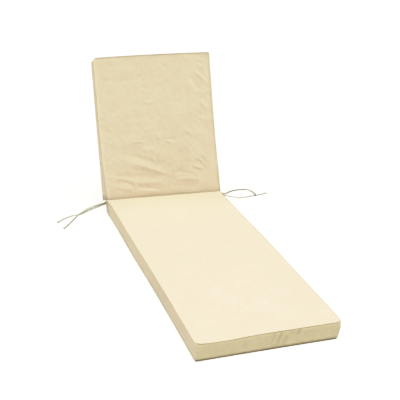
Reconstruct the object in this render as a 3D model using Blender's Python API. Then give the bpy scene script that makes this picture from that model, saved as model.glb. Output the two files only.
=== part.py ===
"""Sun lounger cushion: a long filled seat section lying flat, a shorter back section raised at a sewn hinge,
and a flat tie strip at each end of the hinge, whose two free ends lie on the surface.

Metres, +Z up. +X is to the right as one faces the cushion from its foot, and +Y runs from the foot to the head.
The origin is at the middle of the two sections' box, on the surface that the seat lies on.
"""

from collections import namedtuple
from math import atan2, copysign, cos, exp, hypot, pi, radians, sin, sqrt

import bmesh
import bpy
from mathutils import Euler, Vector

# Driving dimensions
WIDTH = 0.600
SEAT_LENGTH = 1.300
BACK_LENGTH = 0.704
THICKNESS = 0.073
HEAD_THICKNESS = 0.064  # the back is a little thinner at its head end
RAISE_ANGLE = radians(63.4)  # how far the back is raised from lying flat
HALF_WIDTH = WIDTH / 2
HINGE_Y = 0.461  # puts the two sections' box in the middle

# How uneven the sewn piece is
HINGE_SKEW = 0.011  # the hinge's left end lies this far headwards, its right end this far footwards
BACK_SPLAY = 0.0056  # the back's right side is this much longer, its left side this much shorter
FOOT_SEAM_DIP = 0.0045  # the face seam sags here along the foot
FOOT_SEAM_DIP_X = -0.19
FOOT_SEAM_DIP_WIDTH = 0.09
FOOT_FLARE = 0.005  # the foot's boxing leans out by this much at the surface
FOOT_FLARE_REACH = 0.05
UNDER_CORNER_PULL = 0.018  # how far the underside's right foot corner is drawn in sideways
UNDER_CORNER_REACH = 0.09
UNDER_CORNER_FROM = 0.35  # the share of the depth where that pull begins

# Seams and filling
SEAM_NOTCH = 0.0016  # a plain seam sits this deep between the filled panel and the filled boxing
BOXING_BULGE = 0.0030
RIM_RISE = 0.0050  # how far a panel rises from its seam
UNDER_LIFT = 0.0012  # how far the underside's seam is off the surface
RIM_WIDTH = 0.008  # most of that rise lies this close to the seam
FACE_CROWN = 0.0045  # how much more it rises towards the middle
REAR_CROWN = 0.0030

# Rows of points: near a seam they lie at these distances from it, and evenly between
RIM_ROWS = (0.0, 0.005, 0.013, 0.030)
BOXING_ROWS = (0.0, 0.005, 0.019, 0.036, 0.053, 0.068, THICKNESS)

# Hinge seam: the sewn allowances, a flat strip in the opening below the faces
HINGE_STRIP_LENGTH = 0.582
HINGE_STRIP_WIDTH = 0.014
HINGE_STRIP_THICKNESS = 0.0022
HINGE_STRIP_DEPTH = 0.0035  # from the faces' meeting line down to the strip

# Ties: flat strips, each route from the hinge seam's end down to the surface and along it
TIE_WIDTH = 0.0090
TIE_THICKNESS = 0.0020
TIE_POINT_SPACING = 0.018
TIE_KNOT_SCALE = 1.35  # the last point, where the strip's end is knotted

FABRIC_COLOUR = (0.83, 0.74, 0.52, 1.0)
TIE_COLOUR = (0.66, 0.60, 0.47, 1.0)
SEAM_COLOUR = (0.60, 0.52, 0.36, 1.0)
FABRIC_ROUGHNESS = 0.85

# Each section's rows of points, its corners, and how far it is drawn in: at the hinge (inset, over its reach,
# with the share of the left one that the rear has), between a side's corners (pull), and along its free end.
# A negative pull bulges. The left splay widens the left side towards the free end.
Section = namedtuple(
    "Section",
    "name length columns rows end_thickness hinge_radius left_radius right_radius rear_radius flat_rear"
    " left_inset left_reach rear_share right_inset right_reach left_pull right_pull left_splay end_pull",
)
SEAT = Section(
    "seat_section", SEAT_LENGTH, 20, 32, THICKNESS, 0.012, 0.028, 0.030, 0.010, True,
    0.009, 0.50, 1.0, 0.010, 0.60, 0.0065, 0.0010, 0.0030, 0.0010,
)
BACK = Section(
    "back_section", BACK_LENGTH, 26, 34, HEAD_THICKNESS, 0.012, 0.022, 0.011, 0.018, False,
    0.009, 0.25, 0.0, 0.006, 0.70, -0.0010, 0.0035, 0.0, -0.0015,
)

# Creases of a section's face: ridges (height over 0) and troughs (under 0) from one point to another.
# Across is from the middle, along is from the hinge.
Fold = namedtuple("Fold", "section across_1 along_1 across_2 along_2 width height")
FOLDS = (
    Fold("back_section", -0.164, 0.218, -0.007, 0.149, 0.014, 0.0045),
    Fold("back_section", -0.147, 0.174, 0.046, 0.110, 0.013, -0.0042),
    Fold("back_section", -0.175, 0.144, -0.070, 0.124, 0.011, 0.0025),
    Fold("back_section", -0.260, 0.116, 0.010, 0.094, 0.012, 0.0028),
    Fold("back_section", -0.180, 0.074, 0.040, 0.070, 0.013, -0.0042),
    Fold("back_section", -0.225, 0.094, -0.125, 0.046, 0.012, 0.0030),
    Fold("back_section", -0.125, 0.043, 0.250, 0.040, 0.013, 0.0034),
    Fold("back_section", -0.275, 0.060, -0.160, 0.028, 0.013, -0.0030),
    Fold("back_section", -0.095, 0.232, -0.025, 0.221, 0.010, -0.0020),
    Fold("back_section", 0.025, 0.270, 0.080, 0.252, 0.010, -0.0020),
    Fold("back_section", 0.130, 0.328, 0.175, 0.288, 0.010, -0.0018),
    Fold("back_section", 0.195, 0.211, 0.255, 0.152, 0.010, -0.0022),
    Fold("back_section", 0.225, 0.648, 0.276, 0.620, 0.009, -0.0022),
    Fold("back_section", 0.202, 0.620, 0.278, 0.544, 0.010, -0.0034),
    Fold("back_section", 0.186, 0.584, 0.234, 0.512, 0.011, 0.0026),
    Fold("back_section", 0.226, 0.464, 0.272, 0.408, 0.011, -0.0026),
)

# Each tie's own points, chosen by hand: x, y from the hinge, z, and how far the strip leans from standing
# on its edge (0 degrees) to lying flat (90 degrees)
TIE_ROUTES = {
    "tie_left_upper": (
        (-0.2940, 0.0180, 0.0602, 60),
        (-0.3065, 0.0060, 0.0605, 60),
        (-0.3210, 0.0075, 0.0575, 45),
        (-0.3380, 0.0085, 0.0530, 32),
        (-0.3545, 0.0120, 0.0470, 26),
        (-0.3730, 0.0175, 0.0380, 26),
        (-0.3915, 0.0235, 0.0270, 35),
        (-0.4105, 0.0250, 0.0150, 60),
        (-0.4320, 0.0210, 0.0048, 88),
        (-0.4590, -0.0145, 0.0026, 90),
        (-0.4935, -0.0605, 0.0014, 90),
        (-0.5305, -0.1075, 0.0014, 90),
    ),
    "tie_left_lower": (
        (-0.2940, 0.0165, 0.0554, 60),
        (-0.3065, 0.0065, 0.0555, 60),
        (-0.3210, 0.0080, 0.0512, 48),
        (-0.3395, 0.0060, 0.0442, 34),
        (-0.3555, 0.0095, 0.0368, 26),
        (-0.3740, 0.0155, 0.0275, 26),
        (-0.3915, 0.0230, 0.0175, 35),
        (-0.4100, 0.0275, 0.0080, 62),
        (-0.4305, 0.0275, 0.0016, 90),
        (-0.4575, 0.0250, 0.0014, 90),
        (-0.4880, 0.0105, 0.0014, 90),
        (-0.5190, -0.0110, 0.0014, 90),
        (-0.5455, -0.0355, 0.0014, 90),
    ),
    "tie_right_upper": (
        (0.2940, -0.0010, 0.0625, 75),
        (0.3025, -0.0075, 0.0595, 80),
        (0.3090, -0.0155, 0.0570, 95),
        (0.3260, -0.0065, 0.0540, 110),
        (0.3560, 0.0235, 0.0470, 115),
        (0.3920, 0.0540, 0.0375, 115),
        (0.4370, 0.0820, 0.0260, 115),
        (0.4820, 0.1000, 0.0145, 108),
        (0.5080, 0.0960, 0.0062, 98),
        (0.5145, 0.0700, 0.0044, 90),
        (0.5140, 0.0445, 0.0044, 90),
    ),
    "tie_right_lower": (
        (0.2940, -0.0030, 0.0580, 75),
        (0.3035, -0.0075, 0.0545, 80),
        (0.3095, -0.0160, 0.0515, 95),
        (0.3250, -0.0125, 0.0440, 105),
        (0.3510, 0.0025, 0.0310, 108),
        (0.3855, 0.0235, 0.0140, 100),
        (0.4195, 0.0355, 0.0024, 90),
        (0.4535, 0.0365, 0.0014, 90),
        (0.4870, 0.0430, 0.0014, 90),
        (0.5165, 0.0455, 0.0014, 90),
        (0.5480, 0.0515, 0.0014, 90),
        (0.5825, 0.0610, 0.0014, 90),
    ),
}


def clear_scene():
    for item in list(bpy.data.objects):
        bpy.data.objects.remove(item, do_unlink=True)


def make_collection(name):
    collection = bpy.data.collections.new(name)
    bpy.context.scene.collection.children.link(collection)
    return collection


def make_material(name, colour, roughness):
    material = bpy.data.materials.new(name)
    material.use_nodes = True
    shader = material.node_tree.nodes["Principled BSDF"]
    shader.inputs["Base Color"].default_value = colour
    shader.inputs["Roughness"].default_value = roughness
    shader.inputs["Metallic"].default_value = 0.0
    return material


def rows_along(length, count):
    """Places of the rows of points: close together near both seams, even between them."""
    start = RIM_ROWS[-1]
    inner = count - 2 * (len(RIM_ROWS) - 1)
    step = (length - 2 * start) / inner
    middle = [start + step * i for i in range(1, inner)]
    return list(RIM_ROWS) + middle + [length - row for row in reversed(RIM_ROWS)]


def sliced_box(section):
    """A box across X, along Y and down Z behind the face, cut into rows where the section needs points."""
    cloth = bmesh.new()
    bmesh.ops.create_cube(cloth, size=1.0)
    bmesh.ops.scale(cloth, vec=(WIDTH, section.length, THICKNESS), verts=cloth.verts)
    bmesh.ops.translate(cloth, vec=(0.0, section.length / 2, -THICKNESS / 2), verts=cloth.verts)
    cuts = [((x - HALF_WIDTH, 0, 0), (1, 0, 0)) for x in rows_along(WIDTH, section.columns)[1:-1]]
    cuts += [((0, y, 0), (0, 1, 0)) for y in rows_along(section.length, section.rows)[1:-1]]
    cuts += [((0, 0, -z), (0, 0, 1)) for z in BOXING_ROWS[1:-1]]
    for place, normal in cuts:
        whole = cloth.verts[:] + cloth.edges[:] + cloth.faces[:]
        bmesh.ops.bisect_plane(cloth, geom=whole, plane_co=place, plane_no=normal, dist=1e-6)
    return cloth


def corner_point(section, across, along, depth):
    """A point of the square outline moved to the one with round corners, and the way out from there."""
    at_hinge = along < section.length / 2
    radius = section.left_radius if across < 0 else section.right_radius
    radius += (section.rear_radius - radius) * depth / THICKNESS
    if at_hinge:
        radius = section.hinge_radius
    from_end = along if at_hinge else section.length - along
    u = (abs(across) - HALF_WIDTH + radius) / radius
    v = (radius - from_end) / radius
    end_sign = -1.0 if at_hinge else 1.0
    if u <= 0.0 or v <= 0.0:
        is_side = HALF_WIDTH - abs(across) < from_end
        out = (copysign(1.0, across), 0.0) if is_side else (0.0, end_sign)
        return across, along, out
    round_u = u * sqrt(1.0 - v * v / 2)
    round_v = v * sqrt(1.0 - u * u / 2)
    reach = hypot(round_u, round_v)
    new_across = copysign(HALF_WIDTH - radius + radius * round_u, across)
    new_from_end = radius - radius * round_v
    new_along = new_from_end if at_hinge else section.length - new_from_end
    return new_across, new_along, (copysign(round_u / reach, across), end_sign * round_v / reach)


def fold_height(section, across, along):
    """The sum of the creases at a point of the face."""
    total = 0.0
    for fold in FOLDS:
        if fold.section != section.name:
            continue
        run_x = fold.across_2 - fold.across_1
        run_y = fold.along_2 - fold.along_1
        length = hypot(run_x, run_y)
        off_x = across - fold.across_1
        off_y = along - fold.along_1
        share = (off_x * run_x + off_y * run_y) / length**2
        if not 0.0 < share < 1.0:
            continue
        distance = (off_x * run_y - off_y * run_x) / length
        strength = 1.0 - abs(2.0 * share - 1.0) ** 3
        total += fold.height * strength * exp(-((distance / fold.width) ** 2))
    return total


def bell(value, width):
    return exp(-((value / width) ** 2))


def hinge_pull(along, reach):
    """The share of the hinge's pull on a side that is left at this distance from it."""
    return max(0.0, 1.0 - (along / reach) ** 2) ** 2


def drawn_in(section, across, along, depth):
    """How far the side is drawn in here."""
    share = along / section.length
    if across >= 0:
        inset = section.right_inset * hinge_pull(along, section.right_reach)
        return inset + section.right_pull * sin(pi * share)
    rear_fade = 1.0 - (1.0 - section.rear_share) * depth / THICKNESS
    inset = section.left_inset * hinge_pull(along, section.left_reach) * rear_fade
    return inset + section.left_pull * sin(pi * share) - section.left_splay * share**2


def filled_point(section, point):
    """Where a point of the sliced box lies on the filled section: across, along, and depth behind the face."""
    across, along, depth = point.x, point.y, -point.z
    from_edge = min(HALF_WIDTH - abs(across), along, section.length - along)
    share = along / section.length
    is_face = depth < 1e-6
    is_rear = depth > THICKNESS - 1e-6
    on_boxing = from_edge < 1e-6
    new_across, new_along, out = corner_point(section, across, along, depth)

    if on_boxing:
        fullness = 1.0 - abs(2.0 * depth / THICKNESS - 1.0) ** 6
        offset = -SEAM_NOTCH + (SEAM_NOTCH + BOXING_BULGE) * fullness
        new_across += offset * out[0]
        new_along += offset * out[1]

    new_across *= 1.0 - drawn_in(section, across, along, depth) / HALF_WIDTH
    new_along -= section.end_pull * cos(pi * across / WIDTH) * share**2

    thickness = THICKNESS + (section.end_thickness - THICKNESS) * share
    rise = 1.0 - exp(-from_edge / RIM_WIDTH)
    crown = cos(pi * across / WIDTH) * sin(pi * share)
    if section.flat_rear:
        lower_seam = thickness - UNDER_LIFT
        rear = thickness if from_edge > RIM_ROWS[-1] - 1e-6 else lower_seam + UNDER_LIFT * rise
        corner = bell(hypot(HALF_WIDTH - across, section.length - along), UNDER_CORNER_REACH)
        lowness = max(0.0, depth / THICKNESS - UNDER_CORNER_FROM) / (1.0 - UNDER_CORNER_FROM)
        new_across -= UNDER_CORNER_PULL * corner * lowness
        new_along += FOOT_FLARE * bell(section.length - along, FOOT_FLARE_REACH) * depth / THICKNESS
    else:
        lower_seam = thickness
        rear = thickness + RIM_RISE * rise + REAR_CROWN * crown
    if is_face:
        new_depth = -(RIM_RISE + fold_height(section, across, along)) * rise - FACE_CROWN * crown
    elif is_rear:
        new_depth = rear
    else:
        new_depth = depth * lower_seam / THICKNESS
    if section.flat_rear:
        dip = FOOT_SEAM_DIP * bell(across - FOOT_SEAM_DIP_X, FOOT_SEAM_DIP_WIDTH)
        new_depth += dip * bell(section.length - along, RIM_ROWS[-1]) * (1.0 - depth / THICKNESS)
    return new_across, new_along, new_depth


def section_mesh(section):
    """The filled section as a mesh: X across, Y along from the hinge, Z out of the face."""
    cloth = sliced_box(section)
    for vertex in cloth.verts:
        across, along, depth = filled_point(section, vertex.co)
        skew = -HINGE_SKEW * across / HALF_WIDTH
        if section.flat_rear:
            along = -along + skew * (1.0 - along / section.length)
        else:
            along += BACK_SPLAY * across / HALF_WIDTH * along / section.length
        vertex.co = Vector((across, along, -depth))
    bmesh.ops.recalc_face_normals(cloth, faces=cloth.faces)
    mesh = bpy.data.meshes.new(section.name)
    cloth.to_mesh(mesh)
    cloth.free()
    mesh.shade_smooth()
    return mesh


def add_object(collection, name, data, parent, material):
    item = bpy.data.objects.new(name, data)
    data.materials.append(material)
    collection.objects.link(item)
    item.parent = parent
    return item


def make_hinge_line(collection):
    """An empty at the middle of the hinge, which carries the sewn pieces."""
    hinge_line = bpy.data.objects.new("hinge_line", None)
    collection.objects.link(hinge_line)
    hinge_line.location = (0.0, HINGE_Y, THICKNESS)
    return hinge_line


def make_seat(collection, hinge_line):
    fabric = make_material("seat_fabric", FABRIC_COLOUR, FABRIC_ROUGHNESS)
    add_object(collection, "seat_section", section_mesh(SEAT), hinge_line, fabric)


def make_back(collection, hinge_line, yaw):
    fabric = make_material("back_fabric", FABRIC_COLOUR, FABRIC_ROUGHNESS)
    back = add_object(collection, "back_section", section_mesh(BACK), hinge_line, fabric)
    back.rotation_euler = Euler((RAISE_ANGLE, 0.0, yaw))


def make_hinge_seam(collection, hinge_line, yaw):
    """A flat strip halfway between the two sections' ends, just under the line where their faces meet."""
    strip = bmesh.new()
    bmesh.ops.create_cube(strip, size=1.0)
    size = (HINGE_STRIP_LENGTH, HINGE_STRIP_WIDTH, HINGE_STRIP_THICKNESS)
    bmesh.ops.scale(strip, vec=size, verts=strip.verts)
    middle = HINGE_STRIP_DEPTH + HINGE_STRIP_WIDTH / 2
    bmesh.ops.translate(strip, vec=(0.0, middle, 0.0), verts=strip.verts)
    bmesh.ops.bevel(strip, geom=strip.edges, offset=HINGE_STRIP_THICKNESS * 0.3, segments=1, affect="EDGES")
    mesh = bpy.data.meshes.new("hinge_seam")
    strip.to_mesh(mesh)
    strip.free()
    cloth = make_material("seam_fabric", SEAM_COLOUR, FABRIC_ROUGHNESS)
    seam = add_object(collection, "hinge_seam", mesh, hinge_line, cloth)
    seat_end = -pi / 2
    back_end = RAISE_ANGLE - pi / 2
    seam.rotation_euler = Euler(((seat_end + back_end) / 2, 0.0, yaw))


def smooth_points(rows):
    """A smooth curve through a route's rows, as many even steps as the spacing asks for."""
    rows = [Vector(row) for row in rows]
    ends = [2 * rows[0] - rows[1]] + rows + [2 * rows[-1] - rows[-2]]
    fine = []
    steps_per_row = 24
    for i in range(1, len(ends) - 2):
        before, start, finish, after = ends[i - 1 : i + 3]
        for step in range(steps_per_row):
            t = step / steps_per_row
            line = 2 * start + (finish - before) * t
            bend = (2 * before - 5 * start + 4 * finish - after) * t * t
            turn = (3 * start - before - 3 * finish + after) * t**3
            fine.append((line + bend + turn) / 2)
    fine.append(rows[-1])
    travelled = [0.0]
    for here, there in zip(fine, fine[1:]):
        travelled.append(travelled[-1] + (there.xyz - here.xyz).length)
    count = round(travelled[-1] / TIE_POINT_SPACING)
    points = []
    for n in range(count + 1):
        target = travelled[-1] * n / count
        i = min(range(len(fine)), key=lambda k: abs(travelled[k] - target))
        points.append(fine[i])
    return points


def make_tie(collection, hinge_line, name, cloth):
    """A flat strip: its width is the curve's extrusion, which the lean turns from upright to flat."""
    points = smooth_points([(x, y, z, lean) for x, y, z, lean in TIE_ROUTES[name]])
    curve = bpy.data.curves.new(name, "CURVE")
    curve.dimensions = "3D"
    curve.twist_mode = "Z_UP"
    curve.bevel_depth = TIE_THICKNESS / 2
    curve.bevel_resolution = 2
    curve.extrude = TIE_WIDTH / 2 - TIE_THICKNESS / 2
    curve.use_fill_caps = True
    spline = curve.splines.new("POLY")
    spline.points.add(len(points) - 1)
    for point, place in zip(spline.points, points):
        point.co = (place[0], place[1], place[2] - THICKNESS, 1.0)
        point.tilt = radians(place[3])
    spline.points[-1].radius = TIE_KNOT_SCALE
    add_object(collection, name, curve, hinge_line, cloth)


def main():
    clear_scene()
    collection = make_collection("sun_lounger_cushion")
    hinge_line = make_hinge_line(collection)
    yaw = -atan2(HINGE_SKEW, HALF_WIDTH)
    make_seat(collection, hinge_line)
    make_back(collection, hinge_line, yaw)
    make_hinge_seam(collection, hinge_line, yaw)
    tie_cloth = make_material("tie_fabric", TIE_COLOUR, FABRIC_ROUGHNESS)
    for name in TIE_ROUTES:
        make_tie(collection, hinge_line, name, tie_cloth)


main()
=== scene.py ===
from collections import namedtuple
from math import atan2, copysign, cos, hypot, pi, radians, sin, sqrt

import bpy
import numpy as np
from mathutils import Euler, Matrix, Vector


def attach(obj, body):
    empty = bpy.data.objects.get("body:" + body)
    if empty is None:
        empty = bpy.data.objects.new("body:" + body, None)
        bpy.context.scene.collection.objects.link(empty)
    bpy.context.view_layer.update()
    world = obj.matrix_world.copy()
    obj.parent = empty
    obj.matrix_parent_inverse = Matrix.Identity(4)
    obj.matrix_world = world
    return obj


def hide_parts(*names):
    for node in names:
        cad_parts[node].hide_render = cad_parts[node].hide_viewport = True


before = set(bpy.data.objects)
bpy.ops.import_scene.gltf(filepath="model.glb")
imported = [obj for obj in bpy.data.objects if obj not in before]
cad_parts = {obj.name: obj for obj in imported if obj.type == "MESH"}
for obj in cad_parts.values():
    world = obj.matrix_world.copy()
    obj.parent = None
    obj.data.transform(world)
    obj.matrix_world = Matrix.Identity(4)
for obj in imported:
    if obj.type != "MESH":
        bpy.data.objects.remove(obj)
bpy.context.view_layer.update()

# Sizes in metres: the part's own, and the finer forms that only the scene has
WIDTH = 0.600
SEAT_LENGTH = 1.300
BACK_LENGTH = 0.704
THICKNESS = 0.073
HEAD_THICKNESS = 0.064
RAISE_ANGLE = radians(63.4)
HALF_WIDTH = WIDTH / 2
HINGE_Y = 0.461
HINGE_SKEW = 0.011
BACK_SPLAY = 0.0056
FOOT_SEAM_DIP = 0.0045  # the face's seam dips a little in one place of the foot end
FOOT_SEAM_DIP_X = -0.19
FOOT_SEAM_DIP_WIDTH = 0.09
FOOT_FLARE = 0.005  # the foot's boxing leans out towards its lower seam
FOOT_FLARE_REACH = 0.05
UNDER_CORNER_PULL = 0.018  # the foot's right corner is drawn in low down
UNDER_CORNER_REACH = 0.09
UNDER_CORNER_FROM = 0.35
SEAM_NOTCH = 0.0016
HINGE_NOTCH = 0.0003
BOXING_BULGE = 0.0030
HEAD_BULGE_SHARE = 0.10
TIE_PULL = 0.0075  # the left tie's root pulls the seat's corner out
TIE_PULL_REACH = 0.035
RIM_RISE = 0.0050
UNDER_LIFT = 0.0012
RIM_WIDTH = 0.008
BOXING_SQUARENESS = 6  # the higher, the flatter the boxing is between its seams
HINGE_LINE_ALONG = 0.002  # how far the shallow notch of the hinge reaches
HINGE_LINE_DOWN = 0.004
FACE_CROWN = 0.0045
REAR_CROWN = 0.0030
HINGE_YAW = -atan2(HINGE_SKEW, HALF_WIDTH)

# Rows of points, finer than the solids': close together at the seams
RIM_ROWS = (0.0, 0.0015, 0.0035, 0.0065, 0.0105, 0.016, 0.023, 0.030)
BOXING_ROWS = (0.0, 0.0015, 0.004, 0.008, 0.014, 0.021, 0.028, 0.035,
               0.042, 0.049, 0.057, 0.063, 0.068, 0.0712, THICKNESS)
ON_SEAM = 1e-6  # what is closer than this to a seam lies on it
ON_SIDE = 1e-5  # the same for the boxing, once the mesh is divided finer

# Camera at the photograph's viewing angle
CAMERA_PLACE = Vector((-1.3057, HINGE_Y - 3.8498, THICKNESS + 1.7879))
CAMERA_AZIMUTH = radians(-21.197)
CAMERA_ELEVATION = radians(23.931)
CAMERA_ROLL = radians(3.210)
CAMERA_LENS = 80.526
CAMERA_SENSOR = 36.0
CAMERA_REACH = 1000.0

# Hinge seam, as in the part
HINGE_STRIP_LENGTH = 0.582
HINGE_STRIP_WIDTH = 0.014
HINGE_STRIP_THICKNESS = 0.0022
HINGE_STRIP_DEPTH = 0.0035
HINGE_STRIP_COLUMNS = 146
HINGE_STRIP_ROWS = 8
HINGE_STRIP_WAVE = 0.0007

# Filling the covers
START_FILLING = 0.55
START_UNEVENNESS = 0.0006
START_CLOSE = 0.02  # full unevenness from this distance to the panel's edge
PRESSURE = 4.0
CLOTH_QUALITY = 6
CLOTH_MASS = 0.25
CLOTH_STRETCH = 12.0
CLOTH_SHEAR = 6.0
CLOTH_BEND = 0.6
CLOTH_EASE = 0.006
LAST_FRAME = 20
SWELL_CAP = 0.006
SEEDS = {"seat_section": 11, "back_section": 23}

# Waves of an uneven field: the shortest, the longest, and how many
START_WAVES = (0.05, 0.16, 48)
BROAD_WAVES = (0.07, 0.20, 48)
FINE_WAVES = (0.022, 0.050, 64)
RIPPLE_WAVES = (0.018, 0.040, 40)

# Relief of the cloth; a CLOSE is the distance from the seam where a form has its full height
FOLD_SHARE = 0.60
SMALL_FOLD_SHARE = 1.35
FOOT_FOLD_SHARE = 1.5
PUCKER_HEIGHT = 0.0010
PUCKER_REACH = 0.011
PUCKER_CLOSE = 0.004
PUCKER_LONG = 0.043
PUCKER_SHORT = 0.029
PUCKER_DRIFT = 0.11  # over this run the puckers' spacing changes
BROAD_UNEVENNESS = 0.0006
FINE_UNEVENNESS = 0.00034
UNEVENNESS_CLOSE = 0.012
FINE_SLANT = 1.7  # the boxing's own unevenness is this much finer up and down
BOXING_RIPPLE = 0.0007
RIPPLE_CLOSE = 0.01
RIPPLE_STRETCH = 0.35
UNDERSIDE_FADE = 0.01  # the seat's boxing runs plain down to the surface that it lies on
LIP_HEIGHT = 0.0008  # the panel's edge stands up a little beside its seam
LIP_PLACE = 0.0035
LIP_WIDTH = 0.0022

# Looks
COVER_COLOUR = (0.802, 0.680, 0.460, 1.0)
# the foot's boxing painted darker and more olive: painted shade of the light falling on it
FOOT_SHADE_COLOUR = (0.752, 0.645, 0.390, 1.0)
TIE_COLOUR = (0.60, 0.59, 0.47, 1.0)
SEAM_COLOUR = (0.56, 0.48, 0.32, 1.0)
DARK_GREEN = 1.10  # powers that make a darker place warmer
DARK_BLUE = 1.34
NOISE_RANGE = (0.3, 0.7)  # nearly all of a noise lies between these
MOTTLE = 0.018
MOTTLE_SCALE = 26.0
PATCHES = 0.012
PATCH_SCALE = 7.0
SLUB = 0.02
SLUB_ALONG = 40.0  # slubs are long and narrow
SLUB_ACROSS = 900.0
SLUB_SHARE = 0.6  # of a thread's height
THREAD_PITCH = 0.00065
THREAD_HEIGHT = 0.00020
CRINKLE_HEIGHT = 0.0012
CRINKLE_SCALE = 75.0
SEAT_CLOTH_SHIFT = (0.0, 0.0, 0.0)  # the two covers' patterns differ
BACK_CLOTH_SHIFT = (1.7, 2.3, 0.0)
WEAR_SCALE = 60.0
FIBRE_SCALE = (500.0, 1400.0, 1400.0)
FIBRE_HEIGHT = 0.00025
PANEL_ROUGHNESS = 0.82
STRIP_ROUGHNESS = 0.85
CLOTH_SPECULAR = 0.25
CLOTH_SHEEN = 0.1
SHEEN_ROUGHNESS = 0.45
SHEEN_TINT = (1.0, 0.98, 0.94, 1.0)
FLOOR_SIZE = 400.0
FLOOR_GAP = 0.0003
FLOOR_COLOUR = (0.25, 0.25, 0.25, 1.0)
FLOOR_GLOW = 1.0
FLOOR_GLOW_COLOUR = (1.0, 0.99, 0.92, 1.0)
WORLD_COLOUR = (1.0, 1.0, 1.0, 1.0)
WORLD_STRENGTH = 0.18
SUN_STRENGTH = 3.66
SUN_ANGLE = radians(40)
SUN_COLOUR = (1.0, 0.998, 1.01)
SUN_FROM = (0.02, 0.02, 1.0)
FOOT_LIGHT_POWER = 3.0
FOOT_LIGHT_SIZE = 0.8
FOOT_LIGHT_PLACE = (-0.05, -0.80, 1.35)
SIDE_STRENGTH = 0.17
SIDE_ANGLE = radians(20)
SIDE_COLOUR = (0.94, 0.97, 1.0)
SIDE_FROM = (-0.90, -0.30, 0.35)

# Tone: light is kept as it is up to the knee, and rolls off to white above it
TONE_WHITE = 1.40
TONE_POINTS = (
    (0.0, 0.0), (0.60, 0.60), (0.79, 0.775), (0.97, 0.855), (1.14, 0.945), (1.27, 1.0), (TONE_WHITE, 1.0),
)
COMBINED_CURVE = 3

# Tie strips
TIE_WIDTH = 0.0090
TIE_THICKNESS = 0.0020
TIE_SIDES = 12
TIE_STEP = 0.0035
KNOT_SWELL = 1.3  # a small flat knot at each tie's free end
KNOT_PLACE = 0.006
KNOT_REACH = 0.005
ROUTE_STEPS = 24  # from one point of a route to the next, before it's cut into even steps
STRIP_FLATNESS = 0.45
STRIP_ROUNDNESS = 0.75
FOLDED_EDGE_THINNING = 0.35

# Each section's corners, and how far its sides and its free end are drawn in
Section = namedtuple(
    "Section",
    "node length end_thickness hinge_radius left_radius right_radius rear_radius flat_rear"
    " left_inset left_reach rear_share right_inset right_reach left_pull right_pull left_splay end_pull",
)
SEAT = Section(
    "seat_section", SEAT_LENGTH, THICKNESS, 0.004, 0.028, 0.030, 0.010, True,
    0.009, 0.50, 1.0, 0.010, 0.60, 0.0065, 0.0010, 0.0030, 0.0010,
)
BACK = Section(
    "back_section", BACK_LENGTH, HEAD_THICKNESS, 0.004, 0.017, 0.011, 0.018, False,
    0.009, 0.25, 0.0, 0.006, 0.70, -0.0010, 0.0035, 0.0, -0.0032,
)
CELLS = {"seat_section": 0.0115, "back_section": 0.0090}

# The face's main creases: ridges over 0 and troughs under 0
Fold = namedtuple("Fold", "section across_1 along_1 across_2 along_2 width height")
FOLDS = (
    Fold("back_section", -0.170, 0.215, -0.003, 0.149, 0.011, 0.0036),
    Fold("back_section", -0.170, 0.175, 0.050, 0.098, 0.012, -0.0044),
    Fold("back_section", -0.175, 0.144, -0.070, 0.124, 0.010, 0.0020),
    Fold("back_section", -0.260, 0.116, 0.010, 0.094, 0.011, 0.0022),
    Fold("back_section", -0.248, 0.106, -0.120, 0.070, 0.010, -0.0026),
    Fold("back_section", -0.130, 0.073, -0.005, 0.067, 0.011, -0.0030),
    Fold("back_section", -0.222, 0.090, -0.150, 0.052, 0.009, 0.0030),
    Fold("back_section", -0.160, 0.053, -0.020, 0.034, 0.010, 0.0028),
    Fold("back_section", 0.000, 0.040, 0.250, 0.036, 0.013, 0.0014),
    Fold("back_section", -0.265, 0.060, -0.180, 0.042, 0.011, -0.0026),
    Fold("back_section", -0.095, 0.232, -0.025, 0.221, 0.010, -0.0024),
    Fold("back_section", 0.025, 0.270, 0.080, 0.252, 0.010, -0.0024),
    Fold("back_section", 0.064, 0.158, 0.125, 0.132, 0.014, -0.0020),
    Fold("back_section", 0.130, 0.328, 0.175, 0.288, 0.010, -0.0024),
    Fold("back_section", 0.195, 0.211, 0.255, 0.152, 0.010, -0.0026),
    Fold("back_section", 0.225, 0.648, 0.276, 0.620, 0.009, -0.0042),
    Fold("back_section", 0.202, 0.620, 0.278, 0.544, 0.010, -0.0060),
    Fold("back_section", 0.186, 0.584, 0.234, 0.512, 0.011, 0.0048),
    Fold("back_section", 0.226, 0.464, 0.272, 0.408, 0.011, -0.0046),
)

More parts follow.
